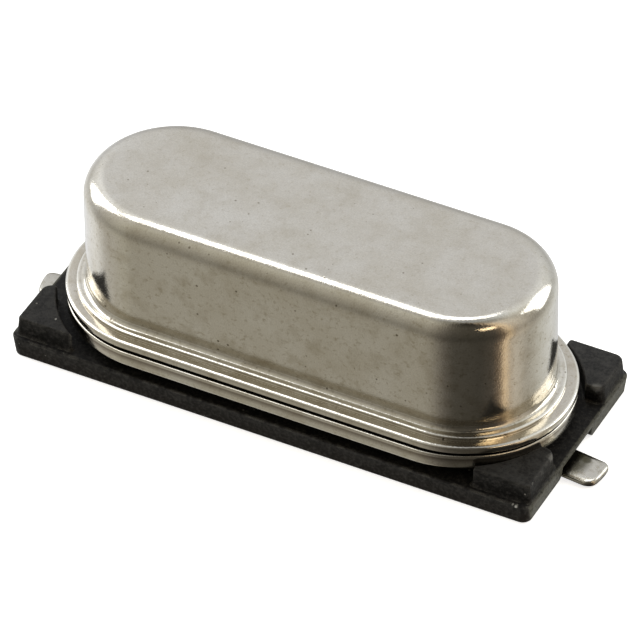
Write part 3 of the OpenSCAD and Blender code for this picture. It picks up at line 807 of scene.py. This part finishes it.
# One lead: round pin, bend, heel pressed flat and a solder tab. A squared ellipse is carried down
# the pin, round the bend and out to the tip, while its half-width and half-thickness change:
# the width follows the tip's corner circles and the thickness closes along a quarter ellipse.
def makeLead(side, name, node, material):
    s, tip = leadSizes, leadSizes[name]
    low, high = boxMm(node)
    baseLow, baseHigh = boxMm("insulator_base")
    r, half = s["wire"] / 2, s["tab"] / 2
    exitX, endX = (baseHigh[0], high[0]) if side > 0 else (-baseLow[0], -low[0])
    swing = math.atan(tip["drift"] / (exitX - pinX))
    reach = (endX - pinX) / math.cos(swing) - s["spare"]
    bendZ, flatX, corner = half + s["bend"], s["bend"] + s["press"], max(tip["far"], tip["near"])
    t = np.radians(np.linspace(0, 90, 20))[1:]
    route = np.concatenate([
        np.stack([np.zeros(8), np.linspace(high[2], bendZ, 8)], 1),
        arcPoints(s["bend"], bendZ, s["bend"], 180, 270, 14)[1:],
        linePoints((s["bend"], half), (reach - corner, half), 60)[1:],
        np.stack([reach - corner + corner * np.sin(t), np.full(len(t), half)], 1),
    ])
    x, z = route[:, :1], route[:, 1:]
    turn = np.arcsin(np.clip((bendZ - z) / s["bend"], 0, 1))       # 0 down the pin, 90 degrees on the strip
    flat = easeStep(x, s["bend"], flatX)
    taper = (s["tabWide"] - s["tipWide"]) / 2 * np.clip((x - flatX) / (reach - flatX), 0, 1)
    halfWide = r + (s["tabWide"] / 2 - r) * flat - taper
    ending = np.clip((x - reach) / s["tipEdge"] + 1, 0, s["closed"])
    halfThick = (r + (half - r) * flat) * np.sqrt(1 - ending ** 2)
    power = 2 / (2 + (s["square"] - 2) * flat)
    a = np.linspace(0, 2 * math.pi, 56, endpoint=False)[None, :]
    across = np.sign(np.cos(a)) * np.abs(np.cos(a)) ** power
    upward = np.sign(np.sin(a)) * np.abs(np.sin(a)) ** power * halfThick
    corners = np.where(across * side > 0, tip["far"], tip["near"])
    into = np.clip(x - reach + corners, 0, corners)
    across = across * (halfWide - corners + np.sqrt(corners ** 2 - into ** 2))
    pull = tip["skew"] * side * across - s["dome"] * (across / halfWide.max()) ** 2
    alongX = x + upward * np.cos(turn) + pull * easeStep(x, flatX, reach)
    height = np.maximum(z + upward * np.sin(turn), 0)
    angle = side * swing + (0 if side > 0 else math.pi)
    placeX = side * pinX + alongX * math.cos(angle) - across * math.sin(angle)
    placeY = alongX * math.sin(angle) + across * math.cos(angle)
    placeY = np.where(z > sealHigh[2], np.minimum(placeY, s["grip"]), placeY)
    lead = stackRings(name + "Lead", np.stack([placeX, placeY, height], -1), 50)
    finishPiece(lead, material, "tinned_wire", node)


print("leads")
tin = tinnedWire("hot-tinned wire")
makeLead(-1, "left", "lead_left", tin)
makeLead(1, "right", "lead_right", tin)


# The sealed inner pieces keep their solids: two tones, the size of the mottling in mm, the gloss
# at both tones, and what the shader needs for that material. Grit, film and flakes are finer than
# 0.02 mm, and are drawn as coarse as they need to show.
innerFinishes = {
    # fused sealing glass: sea-green, glossy, a little cloudy with bubbles
    "glass_seal": ("fused sealing glass", "#48665f", "#6f9188", 0.12, 0.06, 0.2,
                   {"IOR": 1.5, "Transmission Weight": 0.45}),
    # nickel silver sheet as it left the rolls: yellowish, with a soft sheen
    "clip": ("rolled nickel silver", "#a79f8b", "#c4bda9", 0.2, 0.22, 0.34, {"Metallic": 1.0}),
    # lapped quartz: clear stone gone frosty from the grit
    "quartz_blank": ("lapped quartz", "#dfe5e8", "#f2f5f6", 0.05, 0.32, 0.48,
                     {"IOR": 1.544, "Transmission Weight": 0.85}),
    # evaporated silver: the stone's frost under a bright metal
    "electrode": ("evaporated silver", "#dcd8cf", "#efece4", 0.06, 0.2, 0.32, {"Metallic": 1.0}),
    # silver-filled epoxy: flat grey with a metal glint where flakes lie flat
    "adhesive": ("silver-filled epoxy", "#8f8e88", "#b9b7b0", 0.04, 0.38, 0.6, {"Metallic": 0.5}),
}


def innerFinish(name, dark, pale, size, glossy, dull, shaderInputs):
    material, tree, place, noise = newMaterial(name, {"mottle": (size, 4.0, 0.6)})
    mottle = noise["mottle"]
    tone = addNode(tree, "MapRange", [mottle, 0.35, 0.65])
    shader = addNode(tree, "BsdfPrincipled", {
        **shaderInputs,
        "Base Color": paintLayers(tree, linear(dark), [(tone, pale)]),
        "Roughness": addNode(tree, "MapRange", [mottle, 0.3, 0.7, glossy, dull]),
        "Normal": addNode(tree, "Bump", {"Height": mottle, "Strength": 0.3, "Distance": 0.1 * size * mm})})
    addNode(tree, "OutputMaterial", {"Surface": shader})
    return material


print("inner pieces")
inner = {start: innerFinish(*values) for start, values in innerFinishes.items()}
for node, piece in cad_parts.items():
    for start, material in inner.items():
        if node.startswith(start):
            piece.data.materials.clear()
            piece.data.materials.append(material)
